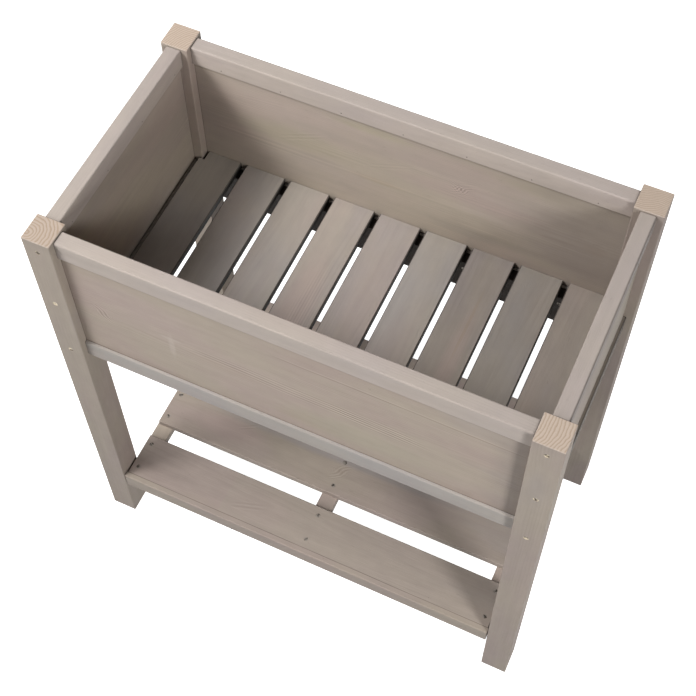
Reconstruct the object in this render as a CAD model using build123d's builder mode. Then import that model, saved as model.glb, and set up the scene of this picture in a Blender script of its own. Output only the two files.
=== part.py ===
from build123d import *
import os

# Raised planter on four legs: a slatted open box of framed panels, with a slatted shelf below.
# X runs along the length, Y from front (-Y) to back (+Y), Z up from the floor.
# The origin is on the floor, under the middle of the planter. All sizes are in millimetres.

# ---- legs
planter_length = 790.0      # over the outer faces of the legs, along X
planter_width = 440.0       # over the outer faces of the legs, along Y
leg_height = 860.0
leg_side = 45.0
leg_ease = 1.6              # rounding of the long edges
leg_end_chamfer = 0.8

# ---- framed side panels: a plank held between a top and a bottom rail
rail_thickness = 24.0
rail_setback = 10.5         # from a leg's outer face to the rail's outer face
rail_drop = 3.0             # from the top of a leg to the top of the rail
rail_ease = 2.4
rail_end_chamfer = 0.6
top_rail_height = 36.0
bottom_rail_height = 36.0
plank_face_height = 224.0   # what shows of a plank between its two rails
plank_thickness = 14.0
plank_ease = 0.8
top_groove_depth = 12.0
bottom_groove_depth = 8.0
groove_clearance = 0.2      # on each side of the plank
plank_head_gap = 1.0        # above the plank, in the top rail's groove

# ---- pins through the top rails' inner faces, into the planks
pin_radius = 0.9
pin_length = 14.0
pin_height = 7.0            # above the top rail's lower edge
pin_spacing = 100.0
long_pin_count = 7
short_pin_count = 4

# ---- slatted floor
slat_count = 9
slat_thickness = 12.0
slat_gap = 10.0             # between two slats
slat_side_gap = 10.0        # between an outer slat and the side plank
slat_end_gap = 1.0          # between a slat's end and the long plank
slat_ease = 1.5
notch_clearance = 4.0       # between an outer slat and the corner of a leg
floor_bearer_width = 20.0
floor_bearer_height = 68.0
floor_bearer_end_gap = 2.0

# ---- slatted shelf
shelf_top = 148.0
shelf_board_count = 4
shelf_board_thickness = 13.0
shelf_board_gap = 31.0
shelf_board_end_gap = 3.5   # between a board's end and the leg's inner face
shelf_lip_thickness = 10.0
shelf_lip_height = 34.0
shelf_lip_end_gap = 1.5
shelf_bearer_width = 30.0
shelf_bearer_thickness = 16.0
board_ease = 2.0
batten_ease = 1.0

# ---- screws
screw_clearance = 0.1       # round a screw, all along it
head_sink = 0.3             # of a screw head below the wood
end_screw_bite = 35.0       # of a leg screw in the end grain beyond the leg
frame_shank_radius = 2.4
frame_head_radius = 4.2
board_shank_radius = 2.0
board_head_radius = 3.8
tip_room = 1.0              # of a blind hole beyond the screw's tip
long_screw_lift = 2.5       # of the screws along X over the middle of their piece
cross_screw_drop = 3.5      # of the screws along Y under the middle of their piece
board_screw_inset = 16.5    # from a shelf board's edge to its screws
board_screw_bite = 12.0
bearer_screw_wall = 3.0     # between a leg screw's tip and a shelf bearer's own screws
slat_screw_grip = 30.0      # of the bearer's wood between a slat screw's head and its slat
slat_screw_bite = 8.0
floor_screw_bite = 15.0

# ---- places worked out from the sizes above
half_length = planter_length / 2
half_width = planter_width / 2
leg_x = half_length - leg_side / 2
leg_y = half_width - leg_side / 2
long_span = planter_length - 2 * leg_side
cross_span = planter_width - 2 * leg_side
rail_offset = rail_setback + rail_thickness / 2
rail_top = leg_height - rail_drop
top_rail_base = rail_top - top_rail_height
bottom_rail_top = top_rail_base - plank_face_height
bottom_rail_base = bottom_rail_top - bottom_rail_height
rail_wall = (rail_thickness - plank_thickness) / 2
plank_bottom = bottom_rail_top - bottom_groove_depth
plank_top = top_rail_base + top_groove_depth - plank_head_gap
inner_half_length = half_length - rail_setback - rail_wall - plank_thickness
inner_half_width = half_width - rail_setback - rail_wall - plank_thickness
rail_inner_half_length = half_length - rail_setback - rail_thickness
rail_inner_half_width = half_width - rail_setback - rail_thickness
slat_room = 2 * inner_half_length - 2 * slat_side_gap - (slat_count - 1) * slat_gap
slat_width = slat_room / slat_count
slat_length = 2 * inner_half_width - 2 * slat_end_gap
slat_pitch = slat_width + slat_gap
floor_bearer_y = rail_inner_half_width - floor_bearer_width / 2
floor_bearer_base = bottom_rail_top - floor_bearer_height
board_room = planter_width - 2 * shelf_lip_thickness - (shelf_board_count - 1) * shelf_board_gap
board_width = board_room / shelf_board_count
board_pitch = board_width + shelf_board_gap
shelf_bearer_x = half_length - leg_side - shelf_bearer_width / 2
shelf_bearer_top = shelf_top - shelf_board_thickness
shelf_bearer_mid = shelf_bearer_top - shelf_bearer_thickness / 2
bearer_screw_bite = shelf_bearer_width / 2 - board_shank_radius - bearer_screw_wall
panel_middles = [
    top_rail_base + top_rail_height / 2,
    (top_rail_base + bottom_rail_top) / 2,
    bottom_rail_base + bottom_rail_height / 2,
]
long_screw_heights = [z + long_screw_lift for z in panel_middles]
cross_screw_heights = [z - cross_screw_drop for z in panel_middles]
slat_xs = [(i - (slat_count - 1) / 2) * slat_pitch for i in range(slat_count)]
gap_xs = [(i - (slat_count - 2) / 2) * slat_pitch for i in range(slat_count - 1)]
floor_screw_xs = gap_xs[:3:2] + gap_xs[-3::2]
board_ys = [(i - (shelf_board_count - 1) / 2) * board_pitch for i in range(shelf_board_count)]
shelf_bearer_xs = {"left": -shelf_bearer_x, "middle": 0.0, "right": shelf_bearer_x}
ends = {"left": -1, "right": 1}
rows = {"front": -1, "back": 1}


def save(builder, name):
    """Names a finished piece and writes its file."""
    builder.part.label = name
    export_step(builder.part, f"parts/{name}.step")


def facing(points, direction):
    """Planes at these points that look along direction, the way a screw head looks."""
    return [Plane(origin=point, z_dir=direction) for point in points]


def sunk(plane):
    """The plane of a screw head that sits just under the surface of plane."""
    return plane.offset(-head_sink)


def countersink(planes, shank_radius, head_radius, depth):
    """Cuts a countersunk hole, depth deep, at each plane on the piece's surface."""
    with Locations(*[sunk(plane) for plane in planes]):
        CounterSinkHole(
            radius=shank_radius + screw_clearance,
            counter_sink_radius=head_radius + screw_clearance,
            depth=depth,
            counter_sink_angle=90,
        )


def pilot(planes, radius, depth):
    """Cuts a plain blind hole, depth deep, at each plane."""
    with Locations(*planes):
        Hole(radius=radius, depth=depth)


def make_screw(shank_radius, head_radius, length):
    """A countersunk screw with a cross recess, its head's face at the origin, pointing down."""
    cone = head_radius - shank_radius
    tip = 2 * shank_radius
    with BuildPart(mode=Mode.PRIVATE) as screw:
        with BuildSketch(Plane.XZ):
            with BuildLine():
                Polyline(
                    (0, 0),
                    (head_radius, 0),
                    (shank_radius, -cone),
                    (shank_radius, tip - length),
                    (0, -length),
                    close=True,
                )
            make_face()
        revolve(axis=Axis.Z)
        with BuildSketch(Plane.XY):
            Rectangle(head_radius, head_radius / 4)
            Rectangle(head_radius / 4, head_radius)
        extrude(amount=-cone, mode=Mode.SUBTRACT)
    return screw.part


def make_pin():
    """A headless wire pin, its end at the origin, pointing down."""
    with BuildPart(mode=Mode.PRIVATE) as pin:
        Cylinder(pin_radius, pin_length, align=(Align.CENTER, Align.CENTER, Align.MAX))
        chamfer(pin.edges().sort_by(Axis.Z)[0], pin_radius / 2)
    return pin.part


def fasteners(name, planes, fastener):
    """Writes one node of identical separate fasteners, one at each plane."""
    with BuildPart() as group:
        with Locations(*planes):
            add(fastener)
    save(group, name)


def leg_outer_planes(row, end, heights, along):
    """Planes on a leg's outer face across X or across Y, at the middle of the face."""
    if along == "x":
        points = [(end * half_length, row * leg_y, z) for z in heights]
        return facing(points, (end, 0, 0))
    points = [(end * leg_x, row * half_width, z) for z in heights]
    return facing(points, (0, row, 0))


def build_legs():
    for row_name, row in rows.items():
        for end_name, end in ends.items():
            with BuildPart() as leg:
                with BuildSketch(Plane.XY):
                    with Locations((end * leg_x, row * leg_y)):
                        Rectangle(leg_side, leg_side)
                extrude(amount=leg_height)
                fillet(leg.edges().filter_by(Axis.Z), leg_ease)
                tips = leg.faces().filter_by(Axis.Z)
                chamfer(tips.edges(), leg_end_chamfer)
                long_screws = leg_outer_planes(
                    row, end, long_screw_heights + [shelf_bearer_mid], "x"
                )
                cross_screws = leg_outer_planes(row, end, cross_screw_heights, "y")
                countersink(
                    long_screws + cross_screws, frame_shank_radius, frame_head_radius, leg_side
                )
            save(leg, f"leg_{row_name}_{end_name}")


def panel_plane(side, height):
    """The plane across a panel's middle at this height, with its X along the panel and its Y inwards."""
    if side in rows:
        row = rows[side]
        origin = (0, row * (half_width - rail_offset), height)
        return Plane(origin=origin, x_dir=(-row, 0, 0), z_dir=(0, 0, 1))
    end = ends[side]
    origin = (end * (half_length - rail_offset), 0, height)
    return Plane(origin=origin, x_dir=(0, end, 0), z_dir=(0, 0, 1))


def panel_span(side):
    return long_span if side in rows else cross_span


def panel_screw_heights(side):
    return long_screw_heights if side in rows else cross_screw_heights


def end_pilots(side):
    """Blind holes in the end grain at both ends of a panel, where the leg screws run."""
    reach = panel_span(side) / 2
    across = leg_side / 2 - rail_offset
    planes = []
    for height in panel_screw_heights(side):
        base = panel_plane(side, height)
        for sign in (-1, 1):
            point = base.from_local_coords((sign * reach, across, 0))
            planes.append(Plane(origin=point, z_dir=base.x_dir * sign))
    depth = end_screw_bite + tip_room - head_sink
    pilot(planes, frame_shank_radius + screw_clearance, depth)


def pin_planes(side):
    """Planes on the inner face of a top rail, one for each pin."""
    base = panel_plane(side, top_rail_base + pin_height)
    count = long_pin_count if side in rows else short_pin_count
    reach = rail_thickness / 2
    places = [(i - (count - 1) / 2) * pin_spacing for i in range(count)]
    points = [base.from_local_coords((x, reach, 0)) for x in places]
    return [Plane(origin=point, z_dir=base.y_dir) for point in points]


def build_rail(side, level):
    """A rail from leg to leg with a groove for the plank."""
    top = level == "top"
    height = top_rail_height if top else bottom_rail_height
    base = top_rail_base if top else bottom_rail_base
    depth = top_groove_depth if top else bottom_groove_depth
    groove_base = top_rail_base if top else bottom_rail_top - bottom_groove_depth
    span = panel_span(side)
    along = Axis.X if side in rows else Axis.Y
    with BuildPart() as rail:
        with BuildSketch(panel_plane(side, base)):
            Rectangle(span, rail_thickness)
        extrude(amount=height)
        fillet(rail.edges().filter_by(along), rail_ease)
        chamfer(rail.faces().filter_by(along).edges(), rail_end_chamfer)
        with BuildSketch(panel_plane(side, groove_base)):
            Rectangle(span, plank_thickness + 2 * groove_clearance)
        extrude(amount=depth, mode=Mode.SUBTRACT)
        end_pilots(side)
        if top:
            pilot(pin_planes(side), pin_radius + screw_clearance, pin_length + tip_room)
        elif side in rows:
            pilot(
                floor_screw_planes(side, rail_inner_half_width),
                board_shank_radius + screw_clearance,
                floor_screw_bite + tip_room,
            )
    save(rail, f"{side}_{level}_rail")


def build_plank(side):
    """The wide board of a panel, with its two long edges in the rails' grooves."""
    span = panel_span(side)
    along = Axis.X if side in rows else Axis.Y
    with BuildPart() as plank:
        with BuildSketch(panel_plane(side, plank_bottom)):
            Rectangle(span, plank_thickness)
        extrude(amount=plank_top - plank_bottom)
        chamfer(plank.edges().filter_by(along), plank_ease)
        end_pilots(side)
        pilot(pin_planes(side), pin_radius + screw_clearance, pin_length + tip_room)
    save(plank, f"{side}_plank")


def floor_screw_planes(side, y):
    """Planes at distance y from the middle that look inwards, one for each floor bearer screw."""
    row = rows[side]
    height = bottom_rail_base + bottom_rail_height / 2
    return facing([(x, row * y, height) for x in floor_screw_xs], (0, -row, 0))


def slat_screw_planes(side):
    """Planes inside a floor bearer that look down, one under the middle of each slat."""
    row = rows[side]
    height = bottom_rail_top - slat_screw_grip
    points = [(x, row * floor_bearer_y, height) for x in slat_xs]
    return facing(points, (0, 0, -1))


def build_floor_bearer(side):
    """A batten screwed to the inner face of a long bottom rail. It carries the slats."""
    row = rows[side]
    with BuildPart() as bearer:
        with BuildSketch(Plane.XY.offset(floor_bearer_base)):
            with Locations((0, row * floor_bearer_y)):
                Rectangle(long_span - 2 * floor_bearer_end_gap, floor_bearer_width)
        extrude(amount=floor_bearer_height)
        chamfer(bearer.edges().filter_by(Axis.X), batten_ease)
        inner_y = rail_inner_half_width - floor_bearer_width
        countersink(
            floor_screw_planes(side, inner_y),
            board_shank_radius,
            board_head_radius,
            floor_bearer_width,
        )
        heads = slat_screw_planes(side)
        countersink(heads, board_shank_radius, board_head_radius, slat_screw_grip)
        well_depth = floor_bearer_height - slat_screw_grip
        mouths = [plane.offset(well_depth) for plane in heads]
        pilot(mouths, board_head_radius + screw_clearance, well_depth + head_sink)
    save(bearer, f"floor_bearer_{side}")


def build_slats():
    """The floor slats. The outer two are notched round the corners of the legs."""
    leg_inner_x = half_length - leg_side
    leg_inner_y = half_width - leg_side
    for index, x in enumerate(slat_xs):
        with BuildPart() as slat:
            with BuildSketch(Plane.XY.offset(bottom_rail_top)):
                with Locations((x, 0)):
                    Rectangle(slat_width, slat_length)
                with Locations(
                    *[(end * half_length, row * half_width) for end in (-1, 1) for row in (-1, 1)]
                ):
                    Rectangle(
                        2 * (half_length - leg_inner_x + notch_clearance),
                        2 * (half_width - leg_inner_y + notch_clearance),
                        mode=Mode.SUBTRACT,
                    )
            extrude(amount=slat_thickness)
            chamfer(slat.faces().sort_by(Axis.Z)[-1].edges().filter_by(Axis.Y), slat_ease)
            holes = [plane for side in rows for plane in slat_screw_planes(side)]
            above = [plane.offset(-slat_screw_grip) for plane in holes]
            mine = [plane for plane in above if abs(plane.origin.X - x) < slat_width / 2]
            depth = slat_screw_bite + tip_room - head_sink
            pilot(mine, board_shank_radius + screw_clearance, depth)
        save(slat, f"floor_slat_{index + 1}")


def board_screw_planes(y, height):
    """Planes that look up, where a shelf board at y is screwed to the three bearers."""
    reach = board_width / 2 - board_screw_inset
    points = [(x, y + side * reach, height) for x in shelf_bearer_xs.values() for side in (-1, 1)]
    return facing(points, (0, 0, 1))


def build_shelf_boards():
    for index, y in enumerate(board_ys):
        with BuildPart() as board:
            with BuildSketch(Plane.XY.offset(shelf_bearer_top)):
                with Locations((0, y)):
                    Rectangle(long_span - 2 * shelf_board_end_gap, board_width)
            extrude(amount=shelf_board_thickness)
            outer = index in (0, shelf_board_count - 1)
            tops = board.faces().sort_by(Axis.Z)[-1].edges().filter_by(Axis.X).sort_by(Axis.Y)
            eased = tops if not outer else [tops[-1] if y < 0 else tops[0]]
            fillet(eased, board_ease)
            countersink(
                board_screw_planes(y, shelf_top),
                board_shank_radius,
                board_head_radius,
                shelf_board_thickness,
            )
        save(board, f"shelf_board_{index + 1}")


def build_shelf_lip(side):
    """The edging glued along the outer shelf board. Its top is level with the boards."""
    row = rows[side]
    with BuildPart() as lip:
        with BuildSketch(Plane.XY.offset(shelf_top - shelf_lip_height)):
            with Locations((0, row * (half_width - shelf_lip_thickness / 2))):
                Rectangle(long_span - 2 * shelf_lip_end_gap, shelf_lip_thickness)
        extrude(amount=shelf_lip_height)
        outer = lip.faces().sort_by(Axis.Y)[0 if row < 0 else -1]
        fillet(outer.edges(), board_ease)
    save(lip, f"shelf_lip_{side}")


def build_shelf_bearer(end_name):
    """A batten under the shelf boards, from one lip to the other."""
    x = shelf_bearer_xs[end_name]
    with BuildPart() as bearer:
        with BuildSketch(Plane.XY.offset(shelf_bearer_top - shelf_bearer_thickness)):
            with Locations((x, 0)):
                Rectangle(shelf_bearer_width, planter_width - 2 * shelf_lip_thickness)
        extrude(amount=shelf_bearer_thickness)
        chamfer(bearer.edges().filter_by(Axis.Y), batten_ease)
        tops = [plane for y in board_ys for plane in board_screw_planes(y, shelf_bearer_top)]
        mine = [plane for plane in tops if abs(plane.origin.X - x) < shelf_bearer_width / 2]
        depth = board_screw_bite + tip_room - head_sink
        pilot(mine, board_shank_radius + screw_clearance, depth)
        if end_name in ends:
            end = ends[end_name]
            points = [
                (end * (half_length - leg_side), row * leg_y, shelf_bearer_mid)
                for row in rows.values()
            ]
            depth = bearer_screw_bite + tip_room - head_sink
            pilot(facing(points, (end, 0, 0)), frame_shank_radius + screw_clearance, depth)
    save(bearer, f"shelf_bearer_{end_name}")


def build_screws():
    leg_screw = make_screw(frame_shank_radius, frame_head_radius, leg_side + end_screw_bite)
    bearer_screw = make_screw(
        frame_shank_radius, frame_head_radius, leg_side + bearer_screw_bite
    )
    board_screw = make_screw(
        board_shank_radius, board_head_radius, shelf_board_thickness + board_screw_bite
    )
    slat_screw = make_screw(
        board_shank_radius, board_head_radius, slat_screw_grip + slat_screw_bite
    )
    floor_screw = make_screw(
        board_shank_radius, board_head_radius, floor_bearer_width + floor_screw_bite
    )
    for end_name, end in ends.items():
        planes = [
            plane
            for row in rows.values()
            for plane in leg_outer_planes(row, end, long_screw_heights, "x")
        ]
        fasteners(f"{end_name}_leg_screws", [sunk(plane) for plane in planes], leg_screw)
    for row_name, row in rows.items():
        planes = [
            plane
            for end in ends.values()
            for plane in leg_outer_planes(row, end, cross_screw_heights, "y")
        ]
        fasteners(f"{row_name}_leg_screws", [sunk(plane) for plane in planes], leg_screw)
    planes = [
        plane
        for row in rows.values()
        for end in ends.values()
        for plane in leg_outer_planes(row, end, [shelf_bearer_mid], "x")
    ]
    fasteners("shelf_bearer_screws", [sunk(plane) for plane in planes], bearer_screw)
    planes = [plane for y in board_ys for plane in board_screw_planes(y, shelf_top)]
    fasteners("shelf_board_screws", [sunk(plane) for plane in planes], board_screw)
    planes = [plane for side in rows for plane in slat_screw_planes(side)]
    fasteners("floor_slat_screws", [sunk(plane) for plane in planes], slat_screw)
    inner_y = rail_inner_half_width - floor_bearer_width
    planes = [plane for side in rows for plane in floor_screw_planes(side, inner_y)]
    fasteners("floor_bearer_screws", [sunk(plane) for plane in planes], floor_screw)


def build_pins():
    pin = make_pin()
    for side in [*rows, *ends]:
        fasteners(f"{side}_panel_pins", pin_planes(side), pin)


os.makedirs("parts", exist_ok=True)
build_legs()
for panel in [*rows, *ends]:
    build_rail(panel, "top")
    build_plank(panel)
    build_rail(panel, "bottom")
build_slats()
build_shelf_boards()
for long_side in rows:
    build_floor_bearer(long_side)
    build_shelf_lip(long_side)
for bearer_place in shelf_bearer_xs:
    build_shelf_bearer(bearer_place)
build_screws()
build_pins()
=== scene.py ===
import math
from collections import namedtuple

import bpy
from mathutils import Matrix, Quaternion, Vector


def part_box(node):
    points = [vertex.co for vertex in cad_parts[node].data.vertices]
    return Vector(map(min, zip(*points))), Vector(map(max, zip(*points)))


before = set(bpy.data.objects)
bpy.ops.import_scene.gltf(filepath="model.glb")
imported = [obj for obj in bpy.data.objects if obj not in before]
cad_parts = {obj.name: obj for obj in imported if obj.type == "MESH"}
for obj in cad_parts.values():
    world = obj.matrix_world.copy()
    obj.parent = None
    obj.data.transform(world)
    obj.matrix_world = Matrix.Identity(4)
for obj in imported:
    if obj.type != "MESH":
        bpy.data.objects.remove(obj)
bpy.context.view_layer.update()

# The planter stands in the shared frame: X along its length, front at -Y, Z up, in metres.

# ---- colours, all linear
# the washed pine's stains; the last two are greys for painted shade, the lead one for a few stain
# streaks too
TAUPE = (0.423, 0.350, 0.314)
OLIVE = (0.418, 0.366, 0.288)
ROSE = (0.448, 0.354, 0.324)
SLATE = (0.375, 0.334, 0.318)
CHALK = (0.436, 0.380, 0.353)
SAND = (0.420, 0.360, 0.312)
FROST = (0.392, 0.362, 0.345)
EARTH = (0.432, 0.347, 0.300)
CREAM = (0.520, 0.455, 0.400)
UMBER = (0.385, 0.300, 0.215)
# lead grey: a few dark stain streaks, and the painted shadows at the planks' ends
LEAD_AND_SHADOW = (0.285, 0.245, 0.218)
# near black: painted shade for the floor bearers, which sit in deep shade under the slats
BEARER_SHADE_BLACK = (0.020, 0.014, 0.010)
# knots, and the bare wood on top of the legs
KNOT_HEART = (0.175, 0.120, 0.085)
KNOT_RIM = (0.255, 0.200, 0.155)
RAW_EARLY = (0.590, 0.485, 0.403)
RAW_LATE = (0.445, 0.330, 0.245)
WAX = (0.560, 0.500, 0.455)
# screws and wire: each one's bright colour, and the painted shade in its blotches
PLATING_BRIGHT = (0.64, 0.55, 0.40)
PLATING_SHADE = (0.11, 0.085, 0.055)
STEEL_BRIGHT = (0.38, 0.34, 0.30)
STEEL_SHADE = (0.10, 0.085, 0.07)
WIRE_BRIGHT = (0.24, 0.22, 0.20)
WIRE_SHADE = (0.12, 0.11, 0.10)
# studio
WHITE = (1.0, 1.0, 1.0)
PAPER_LOW = (0.80, 0.80, 0.80)
PAPER_HIGH = (0.82, 0.82, 0.82)

# ---- the grain
GRAIN_WANDER = 0.016  # how far the grain strays across a board, in metres
KNOT_LENGTH = 0.72  # a knot's width over its length along the grain
KNOT_PULL = 0.8  # how much the grain swings out round a knot
KNOT_PULL_FALL = 0.14  # how slowly that dies away, against the knot's radius
KNOT_RING_WAVE = 3100.0  # rings in a knot, in radians per metre
KNOT_HALO_SHOW = 0.09
KNOT_RING_SHOW = 0.5
RING_JITTER = 0.9  # in rings
LATE_START, LATE_FULL, LATE_END = 0.35, 0.86, 0.9  # where late wood lies in one ring
STROKE_JITTER = 1.4  # in radians
LINE_FADE = 0.03  # how long a line takes to fade in and out, in metres

# ---- how far each kind of figure swings a board's tone
RING_MIDDLE = 0.35
FIBRE_SHOW = 0.10
CLOUD_SHOW = 0.16
MOTTLE_SHOW = 0.14
PENCIL_SHOW = 0.10
PORE_SHOW = -0.07
END_DARKENING = -0.05
END_DARK_REACH = 0.02
WEAR_SHEEN_NEAR, WEAR_SHEEN_FAR = 0.0004, 0.0028  # an edge's strip of wear and painted highlight, in metres
STEP_RAGGED = 0.012
STEP_SOFT = 0.002
SEAM_CORE = 0.2  # the darkest part of a seam or a line, as a share of its reach

# ---- faces: how squarely a face must look along an axis to count as facing it
FACING_LOW, FACING_HIGH = 0.55, 0.8

# ---- end grain
RAW_CLOUD = 0.5
RAW_LATE_SHOW = 0.85
RAW_FIBRE = 0.14
WAX_NEAR, WAX_FAR, WAX_SHOW = 0.0002, 0.0016, 0.45
STAINED_END = 0.80
STAINED_END_LATE = -0.24

# ---- gloss and relief
WOOD_ROUGHNESS = 0.68
WOOD_ROUGH_FIBRE = 0.25
WOOD_ROUGH_LATE = -0.06
WOOD_SPECULAR = 0.22
WOOD_RELIEF = 0.00022
METAL_ROUGH_BRUSH = 0.25
METAL_RELIEF = 0.00004

FLOOR_GLOW = 1.0

# ---- figure and painted shadows that one board has at a known place
# along and across are measured from the board's middle, and every length is in metres. A slope
# is the rise across the board for each metre along it. Strengths are shares of the tone or colour.
Knot = namedtuple("Knot", "along across radius strength")
Bundle = namedtuple("Bundle", "along across long_reach wide_reach pitch slope strength")
Line = namedtuple("Line", "start stop across slope width strength")
Tint = namedtuple("Tint", "along across long_reach wide_reach colour strength")
Step = namedtuple("Step", "along colour strength")
Seam = namedtuple("Seam", "axis position reach strength")
# pith is the heart's place across and through a leg, ring is one ring's width, warp is how far
# the rings stray from round, and tone is how light the bare end grain is
Heart = namedtuple("Heart", "pith ring warp tone")


class Graph:
    """Short calls that add shader nodes to one material and join them."""

    def __init__(self, name):
        self.material = bpy.data.materials.new(name)
        self.material.use_nodes = True
        self.nodes = self.material.node_tree.nodes
        self.links = self.material.node_tree.links
        self.nodes.clear()

    def feed(self, socket, value):
        if isinstance(value, bpy.types.NodeSocket):
            self.links.new(value, socket)
        elif socket.type == "RGBA":
            socket.default_value = (*value, 1.0)
        else:
            socket.default_value = value

    def add(self, kind, inputs, **settings):
        node = self.nodes.new(kind)
        for key, value in settings.items():
            setattr(node, key, value)
        for key, value in inputs.items():
            self.feed(node.inputs[key], value)
        return node

    def math(self, operation, *values, clamp=False):
        inputs = dict(enumerate(values))
        node = self.add("ShaderNodeMath", inputs, operation=operation, use_clamp=clamp)
        return node.outputs[0]

    def vector(self, operation, *values):
        inputs = dict(enumerate(values))
        node = self.add("ShaderNodeVectorMath", inputs, operation=operation)
        return node.outputs["Value" if operation == "LENGTH" else "Vector"]

    def combine(self, x, y, z):
        return self.add("ShaderNodeCombineXYZ", {0: x, 1: y, 2: z}).outputs[0]

    def span(self, value, low, high, start=0.0, end=1.0):
        """A smooth step of value from start at low to end at high."""
        inputs = {
            "Value": value,
            "From Min": low,
            "From Max": high,
            "To Min": start,
            "To Max": end,
        }
        node = self.add("ShaderNodeMapRange", inputs, interpolation_type="SMOOTHSTEP")
        return node.outputs["Result"]

    def noise(self, vector, stretch, detail=2.0, roughness=0.5):
        """Noise whose cells are 1 / stretch metres long in each direction."""
        inputs = {
            "Vector": self.vector("MULTIPLY", vector, stretch),
            "Scale": 1.0,
            "Detail": detail,
            "Roughness": roughness,
        }
        return self.add("ShaderNodeTexNoise", inputs).outputs["Fac"]

    def swing(self, noise, amount, value):
        """Value, moved up and down by a noise that averages one half."""
        return self.math("MULTIPLY_ADD", self.math("SUBTRACT", noise, 0.5), amount, value)

    def mix(self, amount, first, second):
        inputs = {0: amount, 6: first, 7: second}
        return self.add("ShaderNodeMix", inputs, data_type="RGBA").outputs[2]

    def dim(self, colour, value):
        return self.vector("MULTIPLY", colour, self.combine(value, value, value))

    def surface(self, colour, roughness, height, depth, **constants):
        """The finished surface. Height is bumped by depth metres; constants stay on the shader."""
        bump = self.add("ShaderNodeBump", {"Height": height, "Distance": depth, "Strength": 1.0})
        inputs = {"Base Color": colour, "Roughness": roughness, "Normal": bump.outputs[0]}
        shader = self.add("ShaderNodeBsdfPrincipled", inputs)
        for key, value in constants.items():
            shader.inputs[key.replace("_", " ")].default_value = value
        self.add("ShaderNodeOutputMaterial", {"Surface": shader.outputs[0]})


def grain_axes(name):
    """Which axes of the frame a board's grain, width and thickness follow."""
    if name.startswith("leg_"):
        return "ZXY"
    if name.startswith(("floor_slat_", "shelf_bearer_")):
        return "YXZ"
    if name.startswith("shelf_board_"):
        return "XYZ"
    if name.startswith(("left_", "right_")):
        return "YZX"
    return "XZY"


class Board:
    """How one board looks: where the tree's heart lay, how its rings, knots and stain run, and
    where shade is painted on it.
    """

    def __init__(self, name, seed):
        self.name = name
        self.seed = seed
        self.axes = grain_axes(name)
        self.low, self.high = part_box(name)
        self.pith = (0.012 * math.sin(seed * 2.3), -0.055 - 0.02 * math.sin(seed))
        self.ring = 0.0034 + 0.0006 * math.sin(seed * 1.7)
        self.ring_warp = 0.0
        self.taper = 0.022 * math.sin(seed * 3.1)
        self.ring_strength = 0.10
        self.streak_strength = 0.16
        self.cloud_strength = 0.55
        self.shade = 1.0 + 0.03 * math.sin(seed * 5.3)
        self.base = TAUPE
        self.raw_ends = False
        self.raw_shade = 1.0
        self.edge_wear_and_sheen = 0.035
        self.painted_side_shade = 0.0
        self.knots = []
        self.bundles = []
        self.tints = []
        self.lines = []
        self.steps = []
        self.seams = []

    def along_axis(self, values):
        """The one of three X, Y and Z values that lies along the grain."""
        return values["XYZ".index(self.axes[0])]

    def across_axis(self, values):
        return values["XYZ".index(self.axes[1])]

    def through_axis(self, values):
        return values["XYZ".index(self.axes[2])]


def bend_round_knots(g, board, seeded, along, across):
    """The grain line that each point is on, and the knots' mask, rings and halo there."""
    wander = g.noise(seeded, (3.0, 6.0, 6.0), 2.0)
    line = g.swing(wander, GRAIN_WANDER, across)
    mask, rings, halo = 0.0, 0.0, 0.0
    for knot in board.knots:
        du = g.math("SUBTRACT", along, knot.along)
        dw = g.math("SUBTRACT", across, knot.across)
        offset = g.combine(g.math("MULTIPLY", du, KNOT_LENGTH), dw, 0.0)
        uneven = g.noise(seeded, (160.0, 160.0, 160.0), 2.0)
        uneven = g.math("MULTIPLY_ADD", uneven, 0.35, 0.82)
        reach = g.math("MULTIPLY", g.vector("LENGTH", offset), uneven)
        fall = g.math("MULTIPLY", g.math("POWER", reach, 2.0), -KNOT_PULL_FALL / knot.radius**2)
        pull = g.math("MULTIPLY", dw, g.math("EXPONENT", fall))
        line = g.math("SUBTRACT", line, g.math("MULTIPLY", pull, KNOT_PULL))
        wave = g.math("SINE", g.math("MULTIPLY", reach, KNOT_RING_WAVE))
        inside = g.span(reach, knot.radius, knot.radius * 0.6, 0.0, knot.strength)
        near = g.span(reach, knot.radius * 3.6, knot.radius * 0.8, 0.0, KNOT_HALO_SHOW)
        mask = g.math("MAXIMUM", mask, inside)
        halo = g.math("MULTIPLY_ADD", wave, near, halo)
        rings = g.math("MULTIPLY_ADD", g.math("MULTIPLY", wave, inside), KNOT_RING_SHOW, rings)
    return line, mask, rings, halo


def late_wood(g, board, seeded, along, line, through, jitter):
    """Growth rings round the heart of the tree: 0 in the pale early wood, 1 in the late."""
    heart_across = g.math("SUBTRACT", line, board.pith[0])
    heart_through = g.math("SUBTRACT", through, board.pith[1])
    radius = g.vector("LENGTH", g.combine(heart_across, heart_through, 0.0))
    radius = g.math("MULTIPLY_ADD", along, board.taper, radius)
    if board.ring_warp:
        bulge = g.noise(seeded, (8.0, 55.0, 55.0), 1.0)
        radius = g.math("MULTIPLY_ADD", bulge, board.ring_warp, radius)
    turn = g.math("MULTIPLY_ADD", jitter, RING_JITTER, g.math("DIVIDE", radius, board.ring))
    phase = g.math("FRACT", turn)
    rise = g.span(phase, LATE_START, LATE_FULL)
    return g.math("MULTIPLY", rise, g.span(phase, 1.0, LATE_END))


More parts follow.
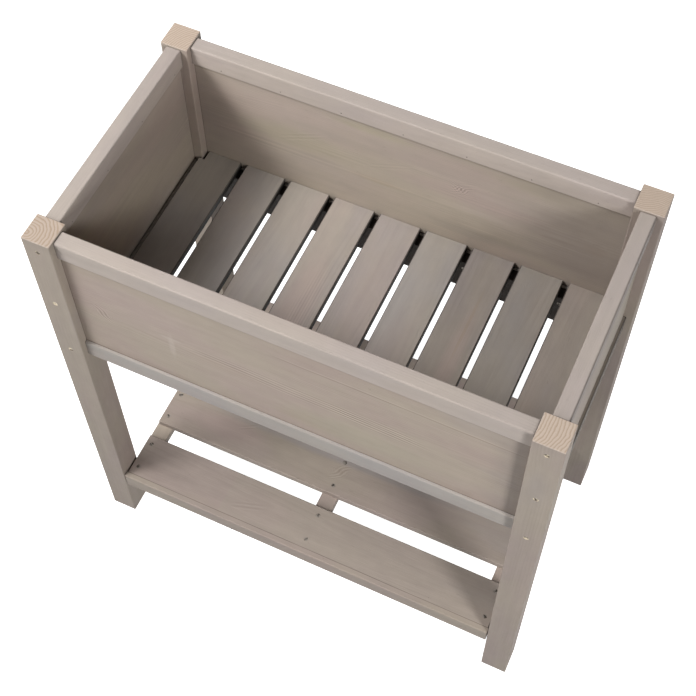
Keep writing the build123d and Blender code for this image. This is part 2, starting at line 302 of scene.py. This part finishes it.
def fine_strokes(g, board, along, line, jitter, patch):
    """Bundles of fine light and dark lines, and single long lines, that follow the grain."""
    strokes = 0.0
    for bundle in board.bundles:
        offset = g.math("SUBTRACT", along, bundle.along)
        height = g.math("SUBTRACT", line, bundle.across)
        lean = g.math("MULTIPLY_ADD", offset, -bundle.slope, height)
        u = g.math("DIVIDE", offset, bundle.long_reach)
        w = g.math("DIVIDE", lean, bundle.wide_reach)
        reach = g.vector("LENGTH", g.combine(u, w, 0.0))
        beat = g.math("MULTIPLY", lean, math.tau / bundle.pitch)
        wave = g.math("SINE", g.math("MULTIPLY_ADD", jitter, STROKE_JITTER, beat))
        wave = g.math("MULTIPLY", wave, g.math("ABSOLUTE", wave))
        near = g.span(reach, 1.0, 0.45, 0.0, bundle.strength)
        strokes = g.math("MULTIPLY_ADD", wave, near, strokes)
    for single in board.lines:
        offset = g.math("SUBTRACT", along, single.start)
        height = g.math("SUBTRACT", line, single.across)
        lean = g.math("ABSOLUTE", g.math("MULTIPLY_ADD", offset, -single.slope, height))
        stroke = g.span(lean, single.width, single.width * SEAM_CORE, 0.0, single.strength)
        begin = g.span(along, single.start, single.start + LINE_FADE)
        finish = g.span(along, single.stop, single.stop - LINE_FADE)
        stroke = g.math("MULTIPLY", stroke, g.math("MULTIPLY", begin, finish))
        strokes = g.math("MULTIPLY_ADD", stroke, g.span(patch, 0.25, 0.6, 0.4, 1.0), strokes)
    return strokes


def stain_and_shadow_colour(g, board, seeded, along, across, cloud, patch, mottle):
    """The grey wash: clouds of olive, rose and slate, and the board's own tints and steps, some
    tints being painted shadows.
    """
    drift = g.noise(g.vector("ADD", seeded, (7.3, 2.9, 5.1)), (3.1, 11.0, 11.0), 2.0)
    clouded = board.cloud_strength
    colour = g.mix(g.span(cloud, 0.36, 0.62, 0.0, clouded), board.base, OLIVE)
    colour = g.mix(g.span(drift, 0.46, 0.70, 0.0, clouded * 0.7), colour, ROSE)
    colour = g.mix(g.span(drift, 0.40, 0.22, 0.0, clouded), colour, SLATE)
    for tint in board.tints:
        u = g.math("DIVIDE", g.math("SUBTRACT", along, tint.along), tint.long_reach)
        w = g.math("DIVIDE", g.math("SUBTRACT", across, tint.across), tint.wide_reach)
        reach = g.vector("LENGTH", g.combine(u, w, 0.0))
        ragged = g.math("MULTIPLY", reach, g.math("ADD", patch, 0.5))
        colour = g.mix(g.span(ragged, 1.0, 0.3, 0.0, tint.strength), colour, tint.colour)
    for step in board.steps:
        front = g.swing(mottle, STEP_RAGGED, along)
        low, high = step.along - STEP_SOFT, step.along + STEP_SOFT
        colour = g.mix(g.span(front, low, high, 0.0, step.strength), colour, step.colour)
    return colour


def edge_distance(g, parts, half):
    """How far a point of a box is from its nearest edge: the middle one of its three gaps."""
    gaps = []
    for index in range(3):
        gaps.append(g.math("SUBTRACT", half[index], g.math("ABSOLUTE", parts[index])))
    return g.math(
        "MAXIMUM",
        g.math("MINIMUM", gaps[0], gaps[1]),
        g.math("MINIMUM", g.math("MAXIMUM", gaps[0], gaps[1]), gaps[2]),
    )


def board_material(board):
    g = Graph(f"{board.name}_wood")
    centre = (board.low + board.high) / 2
    half = (board.high - board.low) / 2
    place = g.add("ShaderNodeTexCoord", {})
    local = g.vector("SUBTRACT", place.outputs["Object"], tuple(centre))
    parts = g.add("ShaderNodeSeparateXYZ", {0: local}).outputs
    facing = g.add("ShaderNodeSeparateXYZ", {0: place.outputs["Normal"]}).outputs
    along = board.along_axis(parts)
    across = board.across_axis(parts)
    through = board.through_axis(parts)
    end_facing = g.math("ABSOLUTE", board.along_axis(facing))
    end_face = g.span(end_facing, FACING_LOW, FACING_HIGH)
    seed_shift = (board.seed, board.seed * 0.37, board.seed * 0.71)
    seeded = g.vector("ADD", g.combine(along, across, through), seed_shift)

    # streaks, fibres and blotches, each in cells per metre along, across and through
    jitter = g.noise(seeded, (9.0, 90.0, 90.0), 3.0)
    streak = g.noise(seeded, (2.6, 75.0, 75.0), 4.0, 0.6)
    fibre = g.noise(seeded, (26.0, 900.0, 900.0), 3.0, 0.6)
    cloud = g.noise(seeded, (4.2, 9.0, 9.0), 3.0, 0.55)
    patch = g.noise(g.vector("ADD", seeded, (3.7, 8.1, 1.9)), (6.0, 24.0, 24.0), 2.0)
    pore = g.span(g.noise(seeded, (70.0, 650.0, 650.0), 2.0), 0.70, 0.80)
    mottle = g.noise(seeded, (28.0, 60.0, 60.0), 3.0, 0.6)

    line, knot_mask, knot_rings, knot_halo = bend_round_knots(g, board, seeded, along, across)
    pencil = g.noise(g.combine(along, line, through), (1.7, 330.0, 330.0), 1.0)
    late = late_wood(g, board, seeded, along, line, through, jitter)
    strokes = fine_strokes(g, board, along, line, jitter, patch)
    colour = stain_and_shadow_colour(g, board, seeded, along, across, cloud, patch, mottle)

    # the tone
    ring_show = g.math("MULTIPLY", g.span(patch, 0.38, 0.66), board.ring_strength)
    value = g.swing(streak, board.streak_strength, board.shade)
    value = g.swing(fibre, FIBRE_SHOW, value)
    value = g.swing(cloud, CLOUD_SHOW, value)
    value = g.swing(mottle, MOTTLE_SHOW, value)
    value = g.math("MULTIPLY_ADD", g.math("SUBTRACT", RING_MIDDLE, late), ring_show, value)
    value = g.swing(pencil, g.span(patch, 0.45, 0.70, 0.0, PENCIL_SHOW), value)
    value = g.math("ADD", value, g.math("ADD", knot_halo, strokes))
    value = g.math("MULTIPLY_ADD", pore, PORE_SHOW, value)

    # edges are painted lighter on most boards, as wear and painted highlight, and darker on the
    # rails; a board is also a little darker within 2 cm of its ends
    edge = edge_distance(g, parts, half)
    wear_sheen_patches = g.span(patch, 0.30, 0.62, 0.35, 1.0)
    edge_wear_and_sheen = g.math("MULTIPLY", g.span(edge, WEAR_SHEEN_FAR, WEAR_SHEEN_NEAR), wear_sheen_patches)
    value = g.math("MULTIPLY_ADD", edge_wear_and_sheen, board.edge_wear_and_sheen, value)
    end = board.along_axis(half)
    end_dark = g.span(g.math("ABSOLUTE", along), end - END_DARK_REACH, end)
    value = g.math("MULTIPLY_ADD", end_dark, END_DARKENING, value)
    # each seam darkens a band beside a plane of the board: thin ones are dark joint lines, wide
    # ones are painted shade
    for seam in board.seams:
        part = parts["XYZ".index(seam.axis)]
        away = g.math("ABSOLUTE", g.math("SUBTRACT", part, seam.position))
        dark = g.span(away, seam.reach, seam.reach * SEAM_CORE, 0.0, seam.strength)
        value = g.math("SUBTRACT", value, dark)
    # painted shade on the faces that look across the board's width: the slats' sides, seen down in
    # the gaps
    if board.painted_side_shade:
        side_facing = g.math("ABSOLUTE", board.across_axis(facing))
        side_face = g.span(side_facing, FACING_LOW, FACING_HIGH, 0.0, board.painted_side_shade)
        value = g.math("MULTIPLY", value, g.math("SUBTRACT", 1.0, side_face))
    knot = g.mix(g.math("ADD", knot_rings, 0.5, clamp=True), KNOT_HEART, KNOT_RIM)
    side_grain = g.mix(knot_mask, g.dim(colour, value), knot)

    # end grain
    if board.raw_ends:
        tone = g.math("MULTIPLY_ADD", g.math("SUBTRACT", cloud, 0.5), RAW_CLOUD, late, clamp=True)
        raw = g.mix(g.math("MULTIPLY", tone, RAW_LATE_SHOW), RAW_EARLY, RAW_LATE)
        ends = g.dim(raw, g.swing(fibre, RAW_FIBRE, board.raw_shade))
        ends = g.mix(g.span(edge, WAX_FAR, WAX_NEAR, 0.0, WAX_SHOW), ends, WAX)
    else:
        ends = g.dim(side_grain, g.math("MULTIPLY_ADD", late, STAINED_END_LATE, STAINED_END))
    final = g.mix(end_face, side_grain, ends)

    # gloss and relief
    roughness = g.swing(fibre, WOOD_ROUGH_FIBRE, WOOD_ROUGHNESS)
    roughness = g.math("MULTIPLY_ADD", late, WOOD_ROUGH_LATE, roughness)
    height = g.math("MULTIPLY_ADD", late, 0.25, fibre)
    height = g.math("MULTIPLY_ADD", streak, 1.2, height)
    height = g.math("MULTIPLY_ADD", pore, -1.2, height)
    height = g.math("MULTIPLY_ADD", knot_mask, 0.9, height)
    g.surface(final, roughness, height, WOOD_RELIEF, Specular_IOR_Level=WOOD_SPECULAR)
    return g.material


def metal_material(name, bright, painted_shade, roughness, metallic):
    """Plated wire or screw steel: a little uneven in tone, with blotches of painted shade."""
    g = Graph(name)
    place = g.add("ShaderNodeTexCoord", {}).outputs["Object"]
    blotch = g.noise(place, (230.0, 230.0, 230.0), 1.0)
    brush = g.noise(place, (2600.0, 2600.0, 2600.0), 2.0)
    colour = g.mix(g.span(blotch, 0.47, 0.60), bright, painted_shade)
    rough = g.math("MULTIPLY_ADD", brush, METAL_ROUGH_BRUSH, roughness)
    g.surface(colour, rough, brush, METAL_RELIEF, Metallic=metallic)
    return g.material


def wear(node, material):
    node.data.materials.clear()
    node.data.materials.append(material)


# ---- each board's own character
boards = {}
for number, name in enumerate(sorted(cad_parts)):
    if not name.endswith(("_screws", "_pins")):
        boards[name] = Board(name, 1.0 + 1.37 * number)

leg_hearts = {
    "leg_front_left": Heart((-0.0186, -0.0104), 0.0052, 0.007, 0.86),
    "leg_front_right": Heart((-0.0800, 0.0120), 0.0044, 0.005, 0.98),
    "leg_back_left": Heart((0.0750, -0.0450), 0.0038, 0.003, 1.03),
    "leg_back_right": Heart((0.0150, -0.0520), 0.0030, 0.003, 1.00),
}
for name, heart in leg_hearts.items():
    leg = boards[name]
    leg.pith = heart.pith
    leg.ring = heart.ring
    leg.ring_warp = heart.warp
    leg.raw_shade = heart.tone
    leg.taper = 0.002
    leg.ring_strength = 0.06
    leg.raw_ends = True

for name, board in boards.items():
    if name.startswith("leg_"):
        board.shade *= 0.90
    if name.endswith("_rail"):
        board.base = CHALK if name.endswith("_top_rail") else FROST
        board.cloud_strength = 0.25
        board.ring_strength = 0.04
        # the rails' edges are painted darker instead of lighter
        board.edge_wear_and_sheen = -0.13
    if name.startswith("shelf_"):
        board.ring_strength = 0.04
    if name.startswith("floor_slat_"):
        board.base = SLATE
        board.cloud_strength = 0.4
        board.ring_strength = 0.05
        # the slats' sides get painted shade
        board.painted_side_shade = 0.93
    # the floor bearers are painted near black, as painted shade seen down the gaps between the
    # slats
    if name.startswith("floor_bearer_"):
        board.base = BEARER_SHADE_BLACK
        board.cloud_strength = 0.0
for name in ("floor_slat_1", "floor_slat_2", "floor_slat_3", "floor_slat_6", "floor_slat_8"):
    boards[name].base = FROST
for name in ("back_plank", "left_plank", "right_plank", "right_bottom_rail"):
    boards[name].base = SAND
boards["front_plank"].base = EARTH

# each board's tone next to the middle of its kind: partly the stain it took, partly painted shade
# on boards the lamps leave too light and painted light on those they leave too dark
for name, tone in {
    "front_top_rail": 1.03,
    "front_bottom_rail": 1.03,
    "back_top_rail": 1.14,
    "left_top_rail": 1.04,
    "right_top_rail": 1.04,
    "left_plank": 0.98,
    "front_plank": 0.96,
    "back_plank": 1.08,
    "floor_slat_1": 0.88,
    "floor_slat_2": 0.96,
    "floor_slat_3": 0.98,
    "floor_slat_4": 1.06,
    "floor_slat_5": 1.10,
    "floor_slat_6": 1.05,
    "floor_slat_7": 0.86,
    "floor_slat_8": 0.80,
    "floor_slat_9": 0.84,
    "leg_front_left": 0.96,
    "shelf_board_1": 0.90,
    "shelf_board_2": 0.90,
    "shelf_lip_front": 0.88,
}.items():
    boards[name].shade *= tone
# painted shade: the back right leg stands in the box's shade, and the right plank and right bottom
# rail face away from the key lights
boards["leg_back_right"].shade = 0.80
boards["right_bottom_rail"].shade = 0.74
boards["right_plank"].shade = 0.85

# joints are painted darker: thin dark lines where planks meet rails and where rails and planks
# meet the legs, and below each top rail a band of painted shade on the plank, about a centimetre
# deep
for side in ("front", "back", "left", "right"):
    plank, top_rail = boards[f"{side}_plank"], boards[f"{side}_top_rail"]
    middle = (plank.low.z + plank.high.z) / 2
    roof = top_rail.low.z - middle
    sill = boards[f"{side}_bottom_rail"].high.z - middle
    plank.seams = [Seam("Z", roof, 0.0110, 0.40), Seam("Z", sill, 0.0020, 0.50)]
    top_rail.seams = [Seam("Z", (top_rail.low.z - top_rail.high.z) / 2, 0.0022, 0.50)]
    for part in ("top_rail", "plank", "bottom_rail"):
        board = boards[f"{side}_{part}"]
        end = board.along_axis(board.high - board.low) / 2
        board.seams += [Seam(board.axes[0], place, 0.0020, 0.40) for place in (end, -end)]
# painted shade: the right rails' outer faces, which face away from the key lights, and a strip of
# their tops along that edge
for name in ("right_top_rail", "right_bottom_rail"):
    rail = boards[name]
    rail.seams += [Seam("X", (rail.high.x - rail.low.x) / 2, 0.0035, 0.40)]
lip = boards["shelf_lip_front"]
lip.seams = [Seam("Y", (lip.high.y - lip.low.y) / 2, 0.0011, 0.45)]
shelf_first = boards["shelf_board_1"]
shelf_first.seams = [Seam("Y", (shelf_first.low.y - shelf_first.high.y) / 2, 0.0008, 0.40)]

# figure of single boards: where its fine lines, smears, colour patches, painted shadows and knots
# lie
front_plank = boards["front_plank"]
front_plank.bundles = [
    Bundle(0.00, -0.010, 0.21, 0.019, 0.0066, 0.0, 0.20),
    Bundle(0.13, -0.013, 0.09, 0.021, 0.0062, -0.06, 0.30),
    Bundle(-0.302, -0.006, 0.018, 0.014, 0.0070, -0.9, 0.24),
]
front_plank.lines = [
    Line(-0.03, 0.36, 0.0675, 0.0, 0.0015, -0.26),
    Line(-0.03, 0.36, 0.0705, 0.0, 0.0018, 0.12),
    Line(-0.18, 0.00, 0.0540, 0.06, 0.0060, -0.05),
]
front_plank.tints = [
    Tint(0.03, -0.078, 0.06, 0.022, UMBER, 0.30),
    Tint(0.10, -0.07, 0.16, 0.036, OLIVE, 0.8),
    Tint(-0.25, 0.05, 0.14, 0.05, ROSE, 0.5),
    Tint(-0.188, -0.002, 0.026, 0.006, CREAM, 0.60),
    Tint(-0.189, -0.020, 0.008, 0.042, CREAM, 0.55),
    # painted shadow: the front right leg's shadow over the plank's right end
    Tint(0.37, 0.0, 0.09, 0.40, LEAD_AND_SHADOW, 0.70),
    Tint(-0.10, -0.02, 0.09, 0.020, UMBER, 0.15),
]
front_plank.knots = [Knot(-0.302, -0.006, 0.0060, 0.12)]

back_plank = boards["back_plank"]
back_plank.bundles = [
    Bundle(0.097, 0.031, 0.024, 0.018, 0.0045, 0.8, 0.22),
    Bundle(0.090, 0.028, 0.020, 0.014, 0.0050, -0.7, 0.14),
    Bundle(-0.17, 0.022, 0.05, 0.014, 0.0080, 0.5, 0.09),
    Bundle(-0.02, 0.024, 0.05, 0.010, 0.0070, 0.4, 0.07),
    Bundle(-0.24, 0.075, 0.06, 0.010, 0.0060, 0.1, 0.06),
]
back_plank.lines = [
    Line(-0.34, 0.33, -0.0200, 0.0, 0.0020, 0.11),
    Line(-0.34, 0.10, -0.0250, 0.0, 0.0035, -0.09),
    Line(0.08, 0.20, -0.0540, 0.02, 0.0022, 0.11),
    Line(0.00, 0.34, 0.0440, 0.0, 0.0060, 0.07),
    Line(-0.30, 0.34, -0.0620, 0.0, 0.0100, -0.05),
]
back_plank.tints = [
    Tint(-0.18, 0.010, 0.14, 0.035, OLIVE, 0.9),
    Tint(-0.05, 0.095, 0.10, 0.012, OLIVE, 0.9),
    Tint(0.22, 0.090, 0.10, 0.020, OLIVE, 0.6),
    Tint(0.12, 0.020, 0.16, 0.030, ROSE, 0.5),
    Tint(0.18, 0.034, 0.08, 0.010, CREAM, 0.35),
    Tint(0.13, -0.012, 0.10, 0.010, CREAM, 0.25),
    Tint(0.31, 0.000, 0.03, 0.016, UMBER, 0.45),
    Tint(0.12, -0.070, 0.10, 0.016, LEAD_AND_SHADOW, 0.30),
    Tint(-0.12, 0.050, 0.12, 0.012, LEAD_AND_SHADOW, 0.12),
    Tint(-0.04, -0.020, 0.06, 0.008, UMBER, 0.25),
    # painted shadows: the right wall's shadow over the back plank's right end, and the left wall's
    # over its left end
    Tint(0.37, -0.01, 0.24, 0.20, LEAD_AND_SHADOW, 0.78),
    Tint(-0.36, -0.02, 0.09, 0.20, LEAD_AND_SHADOW, 0.45),
]
back_plank.knots = [Knot(0.097, 0.031, 0.0040, 0.12)]

shelf_first.steps = [Step(-0.165, SAND, 0.6)]
shelf_first.bundles = [
    Bundle(-0.12, -0.01, 0.04, 0.012, 0.0080, 0.3, 0.08),
    Bundle(0.18, -0.033, 0.06, 0.006, 0.0040, 0.0, 0.08),
]
shelf_first.tints = [
    Tint(-0.117, -0.006, 0.022, 0.006, CREAM, 0.6),
    Tint(-0.10, 0.0, 0.09, 0.04, ROSE, 0.8),
]
shelf_second = boards["shelf_board_2"]
shelf_second.knots = [Knot(0.0, 0.005, 0.0050, 0.14)]
shelf_second.bundles = [
    Bundle(0.0, 0.006, 0.020, 0.014, 0.0060, 0.8, 0.14),
    Bundle(-0.19, 0.016, 0.02, 0.008, 0.0060, 0.5, 0.10),
]
shelf_second.tints = [
    Tint(0.0, 0.035, 0.40, 0.022, SLATE, 1.0),
    Tint(-0.22, 0.0, 0.10, 0.03, ROSE, 0.8),
]

slat_fourth, slat_seventh = boards["floor_slat_4"], boards["floor_slat_7"]
slat_fourth.bundles = [Bundle(-0.04, 0.012, 0.13, 0.024, 0.0042, 0.0, 0.09)]
slat_fourth.tints = [Tint(-0.02, 0.0, 0.14, 0.04, ROSE, 0.5)]
slat_seventh.tints = [
    Tint(0.00, 0.010, 0.12, 0.02, ROSE, 0.5),
    Tint(0.05, 0.010, 0.10, 0.004, UMBER, 0.3),
]

for name, board in boards.items():
    wear(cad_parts[name], board_material(board))

plating = metal_material("screw_plating", PLATING_BRIGHT, PLATING_SHADE, 0.34, 0.35)
steel = metal_material("dull_screws", STEEL_BRIGHT, STEEL_SHADE, 0.50, 0.30)
wire = metal_material("pin_wire", WIRE_BRIGHT, WIRE_SHADE, 0.40, 0.60)
for name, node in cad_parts.items():
    if name.endswith("_pins"):
        wear(node, wire)
    elif name.endswith("_leg_screws"):
        wear(node, plating)
    elif name.endswith("_screws"):
        wear(node, steel)


# ---- floor, light and camera
def make_floor():
    """A wide sheet of white paper that glows in view, but throws no light up at the planter."""
    size, drop = 14.0, 0.0002
    mesh = bpy.data.meshes.new("studio_floor")
    outline = ((-size, -size), (size, -size), (size, size), (-size, size))
    mesh.from_pydata([(x, y, -drop) for x, y in outline], [], [(0, 1, 2, 3)])
    floor = bpy.data.objects.new("studio_floor", mesh)
    bpy.context.scene.collection.objects.link(floor)
    g = Graph("studio_paper")
    place = g.add("ShaderNodeTexCoord", {}).outputs["Object"]
    paper = g.mix(g.noise(place, (700.0, 700.0, 700.0), 2.0), PAPER_LOW, PAPER_HIGH)
    shader = g.add("ShaderNodeBsdfPrincipled", {"Base Color": paper, "Roughness": 0.9})
    shader.inputs["Emission Color"].default_value = (*WHITE, 1.0)
    shader.inputs["Emission Strength"].default_value = FLOOR_GLOW
    g.add("ShaderNodeOutputMaterial", {"Surface": shader.outputs[0]})
    mesh.materials.append(g.material)
    floor.visible_diffuse = False
    floor.visible_shadow = False


def outward(azimuth, elevation):
    """The way from the planter to a viewer. Azimuth 0 is in front of it and 90 at its right."""
    turn, lift = math.radians(azimuth), math.radians(elevation)
    return Vector(
        (math.sin(turn) * math.cos(lift), -math.cos(turn) * math.cos(lift), math.sin(lift))
    )


def make_light(name, azimuth, elevation, distance, size, power, tint):
    """A square soft box that faces the planter's middle."""
    data = bpy.data.lights.new(name, "AREA")
    data.shape = "SQUARE"
    data.size = size
    data.energy = power
    data.color = tint
    lamp = bpy.data.objects.new(name, data)
    away = outward(azimuth, elevation)
    lamp.location = Vector((0, 0, 0.5)) + away * distance
    lamp.rotation_mode = "QUATERNION"
    lamp.rotation_quaternion = (-away).to_track_quat("-Z", "Y")
    bpy.context.scene.collection.objects.link(lamp)


def make_world():
    """A white surround, seen directly but giving no light of its own."""
    world = bpy.data.worlds.new("studio_world")
    world.use_nodes = True
    background = world.node_tree.nodes["Background"]
    background.inputs["Color"].default_value = (*WHITE, 1.0)
    background.inputs["Strength"].default_value = 1.0
    world.cycles_visibility.diffuse = False
    world.cycles_visibility.glossy = False
    bpy.context.scene.world = world
    bpy.context.scene.view_settings.view_transform = "Standard"


def make_camera():
    """The camera looks down on the planter from the front right."""
    aim, distance, roll = Vector((-0.067, 0.107, 0.430)), 2.3305, math.radians(1.2)
    back = outward(25.93, 57.55)
    data = bpy.data.cameras.new("camera")
    data.lens = 71.41
    data.sensor_width = 36.0
    data.shift_x = 0.0086
    data.shift_y = -0.0598
    camera = bpy.data.objects.new("camera", data)
    camera.location = aim + back * distance
    camera.rotation_mode = "QUATERNION"
    camera.rotation_quaternion = (-back).to_track_quat("-Z", "Y") @ Quaternion((0, 0, 1), -roll)
    bpy.context.scene.collection.objects.link(camera)
    bpy.context.scene.camera = camera


make_floor()
make_light("key", -52.0, 46.0, 3.2, 0.7, 52.0, (1.0, 0.99, 0.975))
make_light("key_side", -76.0, 58.0, 3.2, 0.8, 30.0, (1.0, 0.99, 0.975))
make_light("key_low", -35.0, 28.0, 3.2, 0.8, 22.0, (0.98, 0.99, 1.0))
make_light("fill_right", 55.0, 34.0, 3.2, 0.65, 36.0, (1.0, 0.995, 0.985))
make_light("fill_low", 56.0, 11.0, 3.2, 0.5, 25.0, (1.0, 0.995, 0.985))
make_light("rim", -160.0, 50.0, 3.2, 0.8, 9.0, (1.0, 0.99, 0.98))
make_light("sky", 0.0, 89.0, 3.4, 3.0, 4.0, WHITE)
make_light("bounce", 0.0, -89.9, 2.0, 6.0, 34.0, (0.97, 0.985, 1.0))
make_world()
make_camera()
